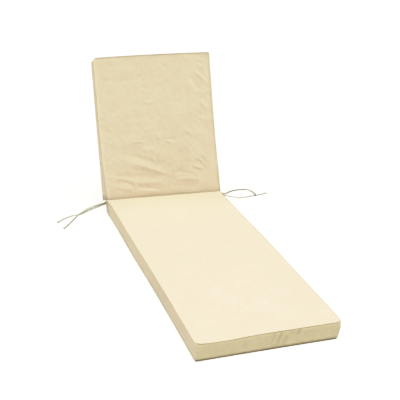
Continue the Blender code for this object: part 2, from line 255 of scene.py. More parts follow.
# Small creases between those
SMALL_FOLDS = (
    Fold("back_section", -0.162, 0.276, -0.054, 0.269, 0.005, -0.0013),
    Fold("back_section", 0.026, 0.281, 0.081, 0.274, 0.005, 0.0014),
    Fold("back_section", -0.018, 0.292, 0.001, 0.279, 0.005, -0.0014),
    Fold("back_section", -0.042, 0.338, -0.014, 0.328, 0.005, -0.0012),
    Fold("back_section", -0.014, 0.330, 0.010, 0.319, 0.005, 0.0012),
    Fold("back_section", 0.184, 0.168, 0.228, 0.123, 0.006, 0.0020),
    Fold("back_section", 0.160, 0.140, 0.204, 0.118, 0.006, -0.0018),
    Fold("back_section", 0.196, 0.177, 0.213, 0.150, 0.005, -0.0014),
    Fold("back_section", 0.220, 0.300, 0.238, 0.288, 0.005, -0.0014),
    Fold("back_section", 0.138, 0.315, 0.160, 0.304, 0.005, -0.0014),
    Fold("back_section", 0.220, 0.375, 0.246, 0.363, 0.005, -0.0012),
    Fold("back_section", -0.072, 0.655, -0.057, 0.608, 0.006, 0.0016),
    Fold("back_section", -0.057, 0.612, -0.078, 0.580, 0.006, 0.0012),
    Fold("back_section", -0.067, 0.548, -0.042, 0.528, 0.006, 0.0014),
    Fold("back_section", -0.074, 0.484, -0.008, 0.478, 0.007, 0.0009),
    Fold("back_section", -0.070, 0.465, -0.014, 0.462, 0.005, -0.0009),
    Fold("back_section", 0.033, 0.660, 0.066, 0.630, 0.005, 0.0014),
    Fold("back_section", 0.235, 0.655, 0.282, 0.618, 0.005, 0.0018),
    Fold("back_section", 0.220, 0.668, 0.268, 0.658, 0.005, -0.0014),
    Fold("back_section", 0.186, 0.582, 0.219, 0.515, 0.006, 0.0012),
    Fold("back_section", -0.100, 0.026, -0.020, 0.024, 0.006, -0.0012),
    Fold("back_section", 0.060, 0.078, 0.190, 0.070, 0.007, -0.0014),
    Fold("back_section", 0.070, 0.118, 0.160, 0.096, 0.007, 0.0014),
    Fold("back_section", -0.268, 0.340, -0.246, 0.318, 0.006, 0.0016),
    Fold("back_section", -0.276, 0.600, -0.252, 0.590, 0.006, 0.0014),
    Fold("seat_section", 0.222, 1.188, 0.228, 1.268, 0.005, -0.0010),
    Fold("seat_section", 0.238, 1.196, 0.242, 1.272, 0.005, 0.0010),
    Fold("seat_section", -0.120, 0.078, -0.050, 0.060, 0.007, -0.0010),
    Fold("seat_section", 0.020, 0.096, 0.080, 0.088, 0.007, -0.0010),
)

# Creases of the seat's boxing at the foot: across, and depth under the face
FOOT_FOLDS = (
    Fold("seat_section", 0.030, 0.056, 0.046, 0.003, 0.0040, 0.0042),
    Fold("seat_section", 0.014, 0.050, 0.030, 0.006, 0.0040, -0.0028),
    Fold("seat_section", 0.006, 0.052, 0.019, 0.006, 0.0040, 0.0030),
    Fold("seat_section", 0.044, 0.054, 0.055, 0.008, 0.0044, -0.0032),
    Fold("seat_section", 0.060, 0.062, 0.070, 0.022, 0.0042, 0.0028),
    Fold("seat_section", 0.108, 0.024, 0.127, 0.003, 0.0042, 0.0036),
    Fold("seat_section", 0.096, 0.024, 0.103, 0.003, 0.0042, -0.0018),
    Fold("seat_section", -0.120, 0.052, -0.096, 0.020, 0.0060, 0.0020),
    Fold("seat_section", -0.205, 0.060, -0.185, 0.018, 0.0060, -0.0020),
    Fold("seat_section", -0.298, 0.018, -0.288, 0.044, 0.0045, -0.0022),
)
FOOT_FINE = (-0.005, 0.135, 0.0055)

FACE, REAR, HINGE_END, FREE_END, LEFT_SIDE, RIGHT_SIDE = range(6)

HINGE_SHADE = 0.34  # on the sides' boxing close to the hinge
HINGE_SHADE_REACH = 0.024

# Painted light and shade on the covers: painted shade in and beside the seams, a painted contact shadow along
# the seat's lower edge, broad painted shade beside the hinge, and a painted highlight where a strength is
# below 0. Each row paints on the panel, on the boxing below the face's seam, and on both beside the rear's
# seam, each with its strength at the seam and its width
Shade = namedtuple("Shade", "section side panel panel_width boxing boxing_width lower lower_width")
SHADES = (
    # painted shade in the foot's seams, and a painted contact shadow along its lower edge
    Shade("seat_section", FREE_END, 0.32, 0.0026, 0.56, 0.0032, 0.85, 0.0075),
    # painted highlight along the top of the foot's boxing
    Shade("seat_section", FREE_END, 0.00, 0.0026, -0.16, 0.0100, 0.00, 0.0075),
    Shade("seat_section", LEFT_SIDE, 0.04, 0.0020, 0.10, 0.0040, 0.45, 0.0055),
    Shade("seat_section", RIGHT_SIDE, 0.34, 0.0030, 0.40, 0.0060, 0.50, 0.0060),
    Shade("seat_section", HINGE_END, 0.30, 0.0035, 0.40, 0.0060, 0.40, 0.0060),
    # broad painted shade on the seat beside the hinge
    Shade("seat_section", HINGE_END, 0.11, 0.1200, 0.00, 0.0060, 0.00, 0.0060),
    Shade("back_section", FREE_END, 0.36, 0.0075, 0.50, 0.0140, 0.40, 0.0050),
    # painted highlight on the back's face beside its left seam
    Shade("back_section", LEFT_SIDE, -0.09, 0.0120, 0.02, 0.0060, 0.40, 0.0060),
    Shade("back_section", RIGHT_SIDE, 0.18, 0.0100, 0.40, 0.0070, 0.40, 0.0060),
    Shade("back_section", HINGE_END, 0.20, 0.0050, 0.50, 0.0090, 0.40, 0.0060),
    # painted shade on the back's face above the hinge
    Shade("back_section", HINGE_END, 0.13, 0.0180, 0.00, 0.0090, 0.00, 0.0060),
)

# Each tie's points: x, y from the hinge, z and lean in degrees as in the part, and a brightness that paints
# the light and shade on the strip there
TIE_ROUTES = {
    "tie_left_upper": (
        (-0.2940, 0.0180, 0.0602, 60, 0.50),
        (-0.3065, 0.0060, 0.0605, 60, 0.45),
        (-0.3210, 0.0075, 0.0575, 45, 0.62),
        (-0.3380, 0.0085, 0.0530, 32, 0.85),
        (-0.3545, 0.0120, 0.0470, 26, 1.00),
        (-0.3730, 0.0175, 0.0380, 26, 1.05),
        (-0.3915, 0.0235, 0.0270, 35, 1.00),
        (-0.4105, 0.0250, 0.0150, 60, 0.85),
        (-0.4320, 0.0210, 0.0048, 88, 0.62),
        (-0.4590, -0.0145, 0.0026, 90, 0.55),
        (-0.4935, -0.0605, 0.0014, 90, 0.52),
        (-0.5305, -0.1075, 0.0014, 90, 0.50),
    ),
    "tie_left_lower": (
        (-0.2940, 0.0165, 0.0554, 60, 0.50),
        (-0.3065, 0.0065, 0.0555, 60, 0.45),
        (-0.3210, 0.0080, 0.0512, 48, 0.68),
        (-0.3395, 0.0060, 0.0442, 34, 0.95),
        (-0.3555, 0.0095, 0.0368, 26, 1.05),
        (-0.3740, 0.0155, 0.0275, 26, 1.05),
        (-0.3915, 0.0230, 0.0175, 35, 1.00),
        (-0.4100, 0.0275, 0.0080, 62, 0.85),
        (-0.4305, 0.0275, 0.0016, 90, 0.66),
        (-0.4575, 0.0250, 0.0014, 90, 0.60),
        (-0.4880, 0.0105, 0.0014, 90, 0.55),
        (-0.5190, -0.0110, 0.0014, 90, 0.52),
        (-0.5455, -0.0355, 0.0014, 90, 0.50),
    ),
    "tie_right_upper": (
        (0.2940, -0.0010, 0.0625, 75, 0.50),
        (0.3025, -0.0075, 0.0595, 80, 0.50),
        (0.3090, -0.0155, 0.0570, 95, 0.50),
        (0.3260, -0.0065, 0.0540, 110, 0.46),
        (0.3560, 0.0235, 0.0470, 115, 0.46),
        (0.3920, 0.0540, 0.0375, 115, 0.46),
        (0.4370, 0.0820, 0.0260, 115, 0.46),
        (0.4820, 0.1000, 0.0145, 108, 0.46),
        (0.5080, 0.0960, 0.0062, 98, 0.46),
        (0.5145, 0.0700, 0.0044, 90, 0.42),
        (0.5140, 0.0445, 0.0044, 90, 0.32),
    ),
    "tie_right_lower": (
        (0.2940, -0.0030, 0.0580, 75, 0.50),
        (0.3035, -0.0075, 0.0545, 80, 0.50),
        (0.3095, -0.0160, 0.0515, 95, 0.50),
        (0.3250, -0.0125, 0.0440, 105, 0.48),
        (0.3510, 0.0025, 0.0310, 108, 0.52),
        (0.3855, 0.0235, 0.0140, 100, 0.58),
        (0.4195, 0.0355, 0.0024, 90, 0.58),
        (0.4535, 0.0365, 0.0014, 90, 0.50),
        (0.4870, 0.0430, 0.0014, 90, 0.42),
        (0.5165, 0.0455, 0.0014, 90, 0.32),
        (0.5480, 0.0515, 0.0014, 90, 0.46),
        (0.5825, 0.0610, 0.0014, 90, 0.50),
    ),
}


def add_object(name, data):
    item = bpy.data.objects.new(name, data)
    bpy.context.scene.collection.objects.link(item)
    return item


# Camera

def make_camera():
    """Looks from the fitted place: azimuth 0 looks along +Y, and the roll turns the picture's right down."""
    az, el, roll = CAMERA_AZIMUTH, CAMERA_ELEVATION, CAMERA_ROLL
    back = Vector((sin(az) * cos(el), -cos(az) * cos(el), sin(el)))
    level = Vector((0.0, 0.0, 1.0)).cross(back).normalized()
    upright = back.cross(level)
    right = cos(roll) * level + sin(roll) * upright
    up = -sin(roll) * level + cos(roll) * upright
    data = bpy.data.cameras.new("camera")
    data.lens = CAMERA_LENS
    data.sensor_width = CAMERA_SENSOR
    data.clip_end = CAMERA_REACH
    camera = add_object("camera", data)
    turned = Matrix((right, up, back)).transposed().to_4x4()
    camera.matrix_world = Matrix.Translation(CAMERA_PLACE) @ turned
    bpy.context.scene.camera = camera


# Ties

def smooth_route(rows, step):
    """A smooth curve through a route's rows in even steps: its places and leans."""
    rows = [np.array(row, float) for row in rows]
    ends = [2 * rows[0] - rows[1]] + rows + [2 * rows[-1] - rows[-2]]
    fine = []
    for i in range(1, len(ends) - 2):
        before, start, finish, after = ends[i - 1: i + 3]
        for t in np.linspace(0.0, 1.0, ROUTE_STEPS, endpoint=False):
            line = 2 * start + (finish - before) * t
            bend = (2 * before - 5 * start + 4 * finish - after) * t * t
            turn = (3 * start - before - 3 * finish + after) * t**3
            fine.append((line + bend + turn) / 2)
    fine = np.array(fine + [rows[-1]])
    travelled = np.concatenate([[0.0], np.cumsum(np.linalg.norm(np.diff(fine[:, :3], axis=0), axis=1))])
    count = int(round(travelled[-1] / step))
    wanted = np.linspace(0.0, travelled[-1], count + 1)
    return np.column_stack([np.interp(wanted, travelled, fine[:, k]) for k in range(5)]), travelled[-1]


def mesh_object(name, verts, faces, material=None):
    mesh = bpy.data.meshes.new(name)
    mesh.from_pydata([tuple(v) for v in verts], [], faces)
    mesh.validate()
    mesh.shade_smooth()
    if material:
        mesh.materials.append(material)
    return add_object(name, mesh)


def loft_faces(rings, sides):
    """The quads between neighbouring rings of points, and a cap at each end."""
    faces = []
    for n in range(rings - 1):
        for k in range(sides):
            a, b = n * sides + k, n * sides + (k + 1) % sides
            faces.append((a, b, b + sides, a + sides))
    faces.append(tuple(range(sides - 1, -1, -1)))
    faces.append(tuple(range((rings - 1) * sides, rings * sides)))
    return faces


def store(mesh, title, values, kind="FLOAT", domain="POINT"):
    """Keeps a number for each point, edge or face, for a material or a later step to read."""
    numbers = np.asarray(values).astype(np.int32 if kind == "INT" else np.float32)
    mesh.attributes.new(title, kind, domain).data.foreach_set("value", numbers)


def strip_profile(width, thickness):
    """A folded strip's section: flat with round edges, and thinner at its fold than where it's sewn."""
    points = []
    for n in range(TIE_SIDES):
        a = 2 * pi * n / TIE_SIDES
        along_width = copysign(abs(cos(a)) ** STRIP_FLATNESS, cos(a)) * width / 2
        fullness = 1.0 - FOLDED_EDGE_THINNING * max(0.0, cos(a)) ** 4
        out = copysign(abs(sin(a)) ** STRIP_ROUNDNESS, sin(a)) * thickness / 2
        points.append((along_width, out * fullness))
    return points


def make_tie(name, material):
    route, length = smooth_route(TIE_ROUTES[name], TIE_STEP)
    places = route[:, :3] + np.array([0.0, HINGE_Y, 0.0])
    tangents = np.gradient(places, axis=0)
    tangents /= np.linalg.norm(tangents, axis=1)[:, None]
    profile = strip_profile(TIE_WIDTH, TIE_THICKNESS)
    knot = KNOT_SWELL * bell(np.linspace(length, 0.0, len(places)) - KNOT_PLACE, KNOT_REACH)
    verts = []
    for n, (place, tangent, lean) in enumerate(zip(places, tangents, route[:, 3])):
        level = np.cross((0.0, 0.0, 1.0), tangent)
        level /= np.linalg.norm(level)
        raised = np.cross(tangent, level)
        lean = radians(lean)
        wide = cos(lean) * raised + sin(lean) * -level
        thick = np.cross(tangent, wide)
        slack = 1.0 + 0.05 * sin(n * 0.83) + 0.03 * sin(n * 0.31 + 1.0)
        lifted = place + np.array([0.0, 0.0, TIE_THICKNESS / 2 * knot[n]])
        for w, t in profile:
            verts.append(lifted + wide * w * slack + thick * t * (1.0 + knot[n]))
    tie = mesh_object(name + "_strip", verts, loft_faces(len(places), TIE_SIDES), material)
    # painted light and shade along the strip, from the route's last column
    store(tie.data, "light", np.repeat(route[:, 4], TIE_SIDES))
    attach(tie, "root")
    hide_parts(name)


# Sections as grids of points

def rows_along(length, cell):
    """Places of the rows of points: the rim's own rows at both ends, even ones between."""
    start = RIM_ROWS[-1]
    inner = int(round((length - 2 * start) / cell))
    step = (length - 2 * start) / inner
    middle = [start + step * i for i in range(1, inner)]
    return np.array(list(RIM_ROWS) + middle + [length - row for row in reversed(RIM_ROWS)])


def box_grid(xs, ys, zs):
    """The surface of a box as a grid: its points, its quads, and the side that each quad is on."""
    nx, ny, nz = len(xs) - 1, len(ys) - 1, len(zs) - 1
    index, keys, quads, sides = {}, [], [], []

    def add(side, corners):
        for key in corners:
            if key not in index:
                index[key] = len(keys)
                keys.append(key)
        quads.append([index[key] for key in corners])
        sides.append(side)

    for i in range(nx):
        for j in range(ny):
            round_about = ((i, j), (i + 1, j), (i + 1, j + 1), (i, j + 1))
            add(FACE, [(a, b, 0) for a, b in round_about])
            add(REAR, [(a, b, nz) for a, b in reversed(round_about)])
    for k in range(nz):
        for i in range(nx):
            round_about = ((i, k), (i, k + 1), (i + 1, k + 1), (i + 1, k))
            add(HINGE_END, [(a, 0, b) for a, b in round_about])
            add(FREE_END, [(a, ny, b) for a, b in reversed(round_about)])
        for j in range(ny):
            round_about = ((j, k), (j + 1, k), (j + 1, k + 1), (j, k + 1))
            add(LEFT_SIDE, [(0, a, b) for a, b in round_about])
            add(RIGHT_SIDE, [(nx, a, b) for a, b in reversed(round_about)])
    keys = np.array(keys)
    return np.column_stack([xs[keys[:, 0]], ys[keys[:, 1]], zs[keys[:, 2]]]), quads, sides


def bell(value, width):
    return np.exp(-((value / width) ** 2))


def corner_points(section, across, along, depth):
    """The square outline's points moved to the one with round corners, and the way out from there."""
    at_hinge = along < section.length / 2
    radius = np.where(across < 0, section.left_radius, section.right_radius)
    radius = radius + (section.rear_radius - radius) * depth / THICKNESS
    radius = np.where(at_hinge, section.hinge_radius, radius)
    from_end = np.where(at_hinge, along, section.length - along)
    u = (np.abs(across) - HALF_WIDTH + radius) / radius
    v = (radius - from_end) / radius
    side_sign = np.where(across < 0, -1.0, 1.0)
    end_sign = np.where(at_hinge, -1.0, 1.0)
    in_corner = (u > 0) & (v > 0)
    is_side = HALF_WIDTH - np.abs(across) < from_end
    cu, cv = np.clip(u, 0, 1), np.clip(v, 0, 1)
    round_u = cu * np.sqrt(1.0 - cv * cv / 2)
    round_v = cv * np.sqrt(1.0 - cu * cu / 2)
    reach = np.maximum(np.hypot(round_u, round_v), 1e-9)
    corner_end = radius - radius * round_v
    corner_y = np.where(at_hinge, corner_end, section.length - corner_end)
    x = np.where(in_corner, side_sign * (HALF_WIDTH - radius + radius * round_u), across)
    y = np.where(in_corner, corner_y, along)
    out_x = np.where(in_corner, side_sign * round_u / reach, np.where(is_side, side_sign, 0.0))
    out_y = np.where(in_corner, end_sign * round_v / reach, np.where(is_side, 0.0, end_sign))
    return x, y, out_x, out_y


def hinge_pull(along, reach):
    """The share of the hinge's pull on a side that is left at this distance from it."""
    return np.clip(1.0 - (along / reach) ** 2, 0.0, 1.0) ** 2


def drawn_in(section, across, along, depth):
    """How far the side is drawn in here."""
    share = along / section.length
    rear_fade = 1.0 - (1.0 - section.rear_share) * depth / THICKNESS
    left = section.left_inset * hinge_pull(along, section.left_reach) * rear_fade
    left = left + section.left_pull * np.sin(pi * share) - section.left_splay * share**2
    if section.flat_rear:
        left = left - TIE_PULL * bell(along, TIE_PULL_REACH) * (1.0 - depth / THICKNESS)
    right = section.right_inset * hinge_pull(along, section.right_reach)
    right = right + section.right_pull * np.sin(pi * share)
    return np.where(across < 0, left, right)


def filled_points(section, base, filling):
    """Where the grid's points lie on the filled section: across, along, depth behind the face.

    The filling is the share of the rim's rise and the boxing's bulge that the shape already has.
    """
    across, along, depth = base.T
    from_edge = edge_distance(section, base)
    share = along / section.length
    is_face = depth < ON_SEAM
    is_rear = depth > THICKNESS - ON_SEAM
    x, y, out_x, out_y = corner_points(section, across, along, depth)
    fullness = (1.0 - np.abs(2.0 * depth / THICKNESS - 1.0) ** BOXING_SQUARENESS) * filling
    at_hinge_line = bell(along, HINGE_LINE_ALONG) * bell(depth, HINGE_LINE_DOWN)
    notch = SEAM_NOTCH + (HINGE_NOTCH - SEAM_NOTCH) * at_hinge_line
    if not section.flat_rear:
        at_head = np.where(along > section.length / 2, np.maximum(out_y, 0.0), 0.0)
        fullness = fullness * (1.0 - (1.0 - HEAD_BULGE_SHARE) * at_head)
    offset = np.where(from_edge < ON_SEAM, -notch + (notch + BOXING_BULGE) * fullness, 0.0)
    x = x + offset * out_x
    y = y + offset * out_y
    x = x * (1.0 - drawn_in(section, across, along, depth) / HALF_WIDTH)
    y = y - section.end_pull * np.cos(pi * across / WIDTH) * share**2
    thickness = THICKNESS + (section.end_thickness - THICKNESS) * share
    rise = (1.0 - np.exp(-from_edge / RIM_WIDTH)) * filling
    crown = np.cos(pi * across / WIDTH) * np.sin(pi * share)
    if section.flat_rear:
        lower_seam = thickness - UNDER_LIFT
        rear = np.where(from_edge > RIM_ROWS[-1] - ON_SEAM, thickness, lower_seam + UNDER_LIFT * rise)
        corner = bell(np.hypot(HALF_WIDTH - across, section.length - along), UNDER_CORNER_REACH)
        lowness = np.maximum(0.0, depth / THICKNESS - UNDER_CORNER_FROM) / (1.0 - UNDER_CORNER_FROM)
        x = x - UNDER_CORNER_PULL * corner * lowness
        y = y + FOOT_FLARE * bell(section.length - along, FOOT_FLARE_REACH) * depth / THICKNESS
    else:
        lower_seam = thickness
        rear = thickness + RIM_RISE * rise + REAR_CROWN * crown
    face = -RIM_RISE * rise - FACE_CROWN * crown
    z = np.where(is_face, face, np.where(is_rear, rear, depth * lower_seam / THICKNESS))
    if section.flat_rear:
        dip = FOOT_SEAM_DIP * bell(across - FOOT_SEAM_DIP_X, FOOT_SEAM_DIP_WIDTH)
        z = z + dip * bell(section.length - along, RIM_ROWS[-1]) * (1.0 - depth / THICKNESS)
    return np.column_stack([x, y, z])


def local_points(section, base, filling):
    """Points in the section's own frame: X across, Y along from the hinge, Z out of the face."""
    across, along, depth = filled_points(section, base, filling).T
    skew = -HINGE_SKEW * across / HALF_WIDTH
    if section.flat_rear:
        along = -along + skew * (1.0 - along / section.length)
    else:
        along = along + BACK_SPLAY * across / HALF_WIDTH * along / section.length
    return np.column_stack([across, along, -depth])


def edge_distance(section, base):
    across, along, depth = base.T
    return np.minimum(HALF_WIDTH - np.abs(across), np.minimum(along, section.length - along))


def seam_distance(section, base):
    """How far a point of the cloth is from the nearest seam, over the cloth."""
    from_edge = edge_distance(section, base)
    from_face = np.minimum(base[:, 2], THICKNESS - base[:, 2])
    return np.where(from_edge > ON_SEAM, from_edge, from_face)


def section_object(section, name):
    """The section as a mesh in its own frame, with the cloth's own coordinates on its points."""
    xs = rows_along(WIDTH, CELLS[section.node]) - HALF_WIDTH
    if section.flat_rear:
        start, end, cell = FOOT_FINE
        xs = np.concatenate([xs[xs < start - cell], np.arange(start, end, cell), xs[xs > end]])
    ys = rows_along(section.length, CELLS[section.node])
    base, quads, sides = box_grid(xs, ys, np.array(BOXING_ROWS))
    filling = START_FILLING
    if section.flat_rear:
        faces = quads
    else:
        faces = [quad[::-1] for quad in quads]
    item = mesh_object(name, local_points(section, base, filling), faces)
    mesh = item.data
    seam = seam_distance(section, base)
    for title, values in zip(("across", "along", "depth", "seam"), (*base.T, seam)):
        store(mesh, title, values)
    store(mesh, "side", sides, "INT", "FACE")
    ends = np.empty(len(mesh.edges) * 2, np.int32)
    mesh.edges.foreach_get("vertices", ends)
    on_seam = (seam[ends].reshape(-1, 2) < ON_SEAM).all(axis=1)
    store(mesh, "crease_edge", on_seam, "FLOAT", "EDGE")
    return item, base


def points_of(mesh):
    flat = np.empty(len(mesh.vertices) * 3, np.float32)
    mesh.vertices.foreach_get("co", flat)
    return flat.reshape(-1, 3).astype(float)


def set_points(mesh, points):
    mesh.vertices.foreach_set("co", points.astype(np.float32).ravel())
    mesh.update()


def values_of(mesh, title):
    values = np.empty(len(mesh.vertices), np.float32)
    mesh.attributes[title].data.foreach_get("value", values)
    return values.astype(float)


def smooth_noise(rng, u, v, shortest, longest, waves):
    """A smooth uneven field over the cloth, about -1 to 1, of waves between two lengths."""
    total = np.zeros(len(u))
    for _ in range(waves):
        turn = rng.uniform(0.0, 2 * pi)
        wave = 2 * pi / rng.uniform(shortest, longest)
        total += np.sin(wave * (u * cos(turn) + v * sin(turn)) + rng.uniform(0.0, 2 * pi))
    return total / sqrt(waves)


def fill_with_air(item, section, base, rng):
    """Blender's cloth swells the cover under pressure, with its seams held and its movement capped."""
    mesh = item.data
    before = points_of(mesh)
    unevenness = START_UNEVENNESS * smooth_noise(rng, base[:, 0], base[:, 1], *START_WAVES)
    from_edge = edge_distance(section, base)
    is_panel = (base[:, 2] < ON_SEAM) | (base[:, 2] > THICKNESS - ON_SEAM)
    before[:, 2] += np.where(is_panel, unevenness * np.clip(from_edge / START_CLOSE, 0.0, 1.0), 0.0)
    set_points(mesh, before)
    held = seam_distance(section, base) < ON_SEAM
    if section.flat_rear:
        held |= base[:, 2] > THICKNESS - ON_SEAM
    pins = item.vertex_groups.new(name="held")
    pins.add([int(i) for i in np.flatnonzero(held)], 1.0, "REPLACE")
    cloth = item.modifiers.new("air", "CLOTH")
    settings = cloth.settings
    settings.quality = CLOTH_QUALITY
    settings.mass = CLOTH_MASS
    settings.tension_stiffness = CLOTH_STRETCH
    settings.compression_stiffness = CLOTH_STRETCH
    settings.shear_stiffness = CLOTH_SHEAR
    settings.bending_stiffness = CLOTH_BEND
    settings.vertex_group_mass = "held"
    settings.use_pressure = True
    settings.uniform_pressure_force = PRESSURE
    settings.shrink_min = -CLOTH_EASE
    settings.effector_weights.gravity = 0.0
    cloth.point_cache.frame_start = 1
    cloth.point_cache.frame_end = LAST_FRAME
    scene = bpy.context.scene
    for frame_number in range(1, LAST_FRAME + 1):
        scene.frame_set(frame_number)
    swollen = item.evaluated_get(bpy.context.evaluated_depsgraph_get())
    move = points_of(swollen.data) - before
    item.modifiers.remove(cloth)
    item.vertex_groups.remove(pins)
    scene.frame_set(1)
    far = np.linalg.norm(move, axis=1)[:, None]
    capped = move * SWELL_CAP / (SWELL_CAP + far)
    set_points(mesh, before + np.where(held[:, None], 0.0, capped))


def subdivide(item):
    modifier = item.modifiers.new("finer", "SUBSURF")
    modifier.levels = 1
    modifier.render_levels = 1
    modifier.boundary_smooth = "PRESERVE_CORNERS"
    evaluated = item.evaluated_get(bpy.context.evaluated_depsgraph_get())
    finer = bpy.data.meshes.new_from_object(evaluated)
    item.modifiers.remove(modifier)
    item.data = finer


def crease_heights(table, node, u, v):
    """The sum of a table's ridges and troughs at places of the cloth."""
    total = np.zeros(len(u))
    for row in table:
        if row.section != node:
            continue
        run_u, run_v = row.across_2 - row.across_1, row.along_2 - row.along_1
        length = hypot(run_u, run_v)
        off_u, off_v = u - row.across_1, v - row.along_1
        share = (off_u * run_u + off_v * run_v) / length**2
        distance = (off_u * run_v - off_v * run_u) / length
        strength = np.clip(1.0 - np.abs(2.0 * share - 1.0) ** 3, 0.0, 1.0)
        total += row.height * strength * bell(distance, row.width)
    return total


def puckers(rng, run, seam):
    """Short dimples that a seam gathers into the cloth beside it."""
    waves = 0.6 * np.sin(2 * pi * run / PUCKER_LONG + 1.3 * np.sin(run / PUCKER_DRIFT + rng.uniform(0, 6)))
    waves += 0.4 * np.sin(2 * pi * run / PUCKER_SHORT + rng.uniform(0, 6))
    close = np.clip(seam / PUCKER_CLOSE, 0.0, 1.0) * np.exp(-seam / PUCKER_REACH)
    return PUCKER_HEIGHT * waves * close


def add_relief(item, section, rng):
    """Creases, puckers and unevenness, raised along the cloth's own way out."""
    mesh = item.data
    across, along, depth, seam = (values_of(mesh, title) for title in ("across", "along", "depth", "seam"))
    from_sides = HALF_WIDTH - np.abs(across)
    from_ends = np.minimum(along, section.length - along)
    on_boxing = np.minimum(from_sides, from_ends) < ON_SIDE
    on_face = ~on_boxing & (depth < THICKNESS / 2)
    at_end = from_ends < ON_SIDE
    run = np.where(on_boxing & ~at_end, along, across)
    rise = 1.0 - np.exp(-seam / RIM_WIDTH)
    folds = crease_heights(FOLDS, section.node, across, along) * FOLD_SHARE
    folds += crease_heights(SMALL_FOLDS, section.node, across, along) * SMALL_FOLD_SHARE
    height = np.where(on_face, folds * rise + LIP_HEIGHT * bell(seam - LIP_PLACE, LIP_WIDTH), 0.0)
    ripple = smooth_noise(rng, run, depth * RIPPLE_STRETCH, *RIPPLE_WAVES)
    height += np.where(on_boxing, BOXING_RIPPLE * ripple * np.clip(seam / RIPPLE_CLOSE, 0.0, 1.0), 0.0)
    foot = on_boxing & (along > section.length / 2) & at_end
    foot_folds = crease_heights(FOOT_FOLDS, section.node, across, depth) * FOOT_FOLD_SHARE
    height += np.where(foot, foot_folds, 0.0)
    nearest_run = np.where(from_sides < from_ends, along, across)
    height += puckers(rng, np.where(on_boxing, run, nearest_run), seam)
    broad = smooth_noise(rng, across + depth, along, *BROAD_WAVES)
    fine = smooth_noise(rng, across + depth * FINE_SLANT, along, *FINE_WAVES)
    uneven = BROAD_UNEVENNESS * broad + FINE_UNEVENNESS * fine
    height += uneven * np.clip(seam / UNEVENNESS_CLOSE, 0.0, 1.0)
    if section.flat_rear:
        rests = depth > THICKNESS - ON_SEAM
        height = np.where(rests, 0.0, height * np.clip((THICKNESS - depth) / UNDERSIDE_FADE, 0.0, 1.0))
    normals = np.empty(len(mesh.vertices) * 3, np.float32)
    mesh.vertices.foreach_get("normal", normals)
    points = points_of(mesh) + normals.reshape(-1, 3) * height[:, None]
    if section.flat_rear:
        points[:, 2] = np.maximum(points[:, 2], -THICKNESS)
    set_points(mesh, points)


def add_shade(item, section):
    """Paints light and shade on each point as a light value: painted shade in the seams and on the sides'
    boxing by the hinge, a painted contact shadow, broad painted shade and painted highlights; and marks the
    foot's boxing for its painted-shade colour.
    """
    mesh = item.data
    across, along, depth = (values_of(mesh, title) for title in ("across", "along", "depth"))
    from_side = {
        FREE_END: section.length - along,
        HINGE_END: along,
        LEFT_SIDE: HALF_WIDTH + across,
        RIGHT_SIDE: HALF_WIDTH - across,
    }
    on_face = depth < ON_SEAM
    on_rear = depth > THICKNESS - ON_SEAM
    on_sides = np.minimum(from_side[LEFT_SIDE], from_side[RIGHT_SIDE]) < ON_SIDE
    # painted shade on the sides' boxing close to the hinge
    light = 1.0 - HINGE_SHADE * (on_sides * bell(along, HINGE_SHADE_REACH))
    for row in SHADES:
        if row.section != section.node:
            continue
        distance = from_side[row.side]
        panel = row.panel * bell(distance, row.panel_width) * on_face
        rear = row.lower * bell(distance, row.lower_width) * on_rear
        upper = row.boxing * bell(depth, row.boxing_width)
        lower = row.lower * bell(THICKNESS - depth, row.lower_width)
        boxing = (upper + lower) * (distance < ON_SIDE)
        light *= 1.0 - panel - rear - boxing
    store(mesh, "light", light)
    # the foot's boxing, which the material paints darker and more olive as shade
    foot = (depth > ON_SEAM) & (from_side[FREE_END] < ON_SIDE) & section.flat_rear
    store(mesh, "foot", foot)


def add_cloth_map(item):
    """A map of the cloth in metres: across and along on the panels, along the seam and down on the boxing."""
    mesh = item.data
    sides = np.empty(len(mesh.polygons), np.int32)
    mesh.attributes["side"].data.foreach_get("value", sides)
    corners = np.empty(len(mesh.loops), np.int32)
    mesh.loops.foreach_get("vertex_index", corners)
    side = np.repeat(sides, 4)
    across, along, depth = (values_of(mesh, title)[corners] for title in ("across", "along", "depth"))
    on_side = (side == LEFT_SIDE) | (side == RIGHT_SIDE)
    u = np.where(on_side, along, across)
    v = np.where((side == FACE) | (side == REAR), along, depth)
    layer = mesh.uv_layers.new(name="cloth")
    layer.uv.foreach_set("vector", np.column_stack([u, v]).astype(np.float32).ravel())


def place_section(item, section):
    turn = Matrix.Identity(4)
    if not section.flat_rear:
        turn = Euler((RAISE_ANGLE, 0.0, HINGE_YAW)).to_matrix().to_4x4()
    item.data.transform(Matrix.Translation((0.0, HINGE_Y, THICKNESS)) @ turn)


def make_section(section, name, material):
    rng = np.random.default_rng(SEEDS[section.node])
    item, base = section_object(section, name)
    fill_with_air(item, section, base, rng)
    subdivide(item)
    add_relief(item, section, rng)
    add_shade(item, section)
    add_cloth_map(item)
    place_section(item, section)
    item.data.shade_smooth()
    item.data.materials.append(material)
    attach(item, "root")
    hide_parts(section.node)


# Hinge seam

